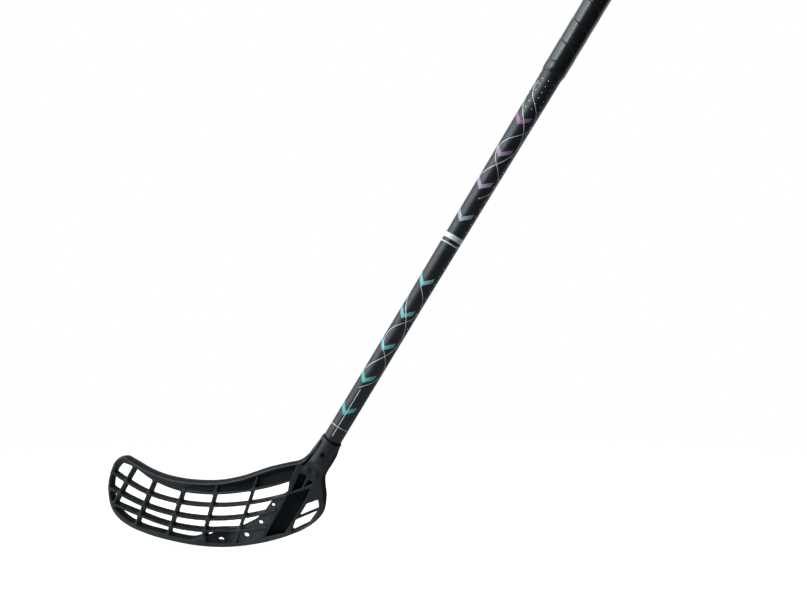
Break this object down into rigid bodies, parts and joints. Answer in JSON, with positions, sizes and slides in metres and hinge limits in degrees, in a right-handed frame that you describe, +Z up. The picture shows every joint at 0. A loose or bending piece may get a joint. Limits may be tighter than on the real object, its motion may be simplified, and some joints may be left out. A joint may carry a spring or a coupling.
{
  "type": "floorball stick",
  "caption": "Floorball stick: ribbed, curved blade with a round socket, a leaning hollow shaft screwed into it, wound grip tape with a finishing band, and a domed end cap.",
  "frame": {"origin": "on the floor plane under the middle of the whole stick, with the blade's sole on the floor", "axes": "+Z up in the playing pose; +X from the blade's toe towards the shaft's lean; the ribbed front of the blade faces -Y"},
  "size_m": [0.7124, 0.0598, 0.8556],
  "materials": {
    "blade_plastic": "satin moulded black",
    "shaft_print": "matt black with thin white and teal print",
    "grip_foam": "soft black tape",
    "band_tape": "black finishing tape",
    "cap_rubber": "matt black rubber",
    "screw_steel": "dark steel"
  },
  "bodies": {
    "stick": {"blade": "blade_plastic", "shaft": "shaft_print", "grip_tape": "grip_foam", "finishing_tape": "band_tape"},
    "end_cap": {"end_cap": "cap_rubber"},
    "blade_screw": {"blade_screw": "screw_steel"}
  },
  "joints": [
    {"name": "end_cap_pull", "type": "slide", "parent": "stick", "child": "end_cap", "axis": [0.5165, 0, 0.8563], "range_m": [0, 0.03]},
    {"name": "blade_screw_undo", "type": "slide", "parent": "stick", "child": "blade_screw", "axis": [0, -1, 0], "range_m": [0, 0.0105]}
  ]
}
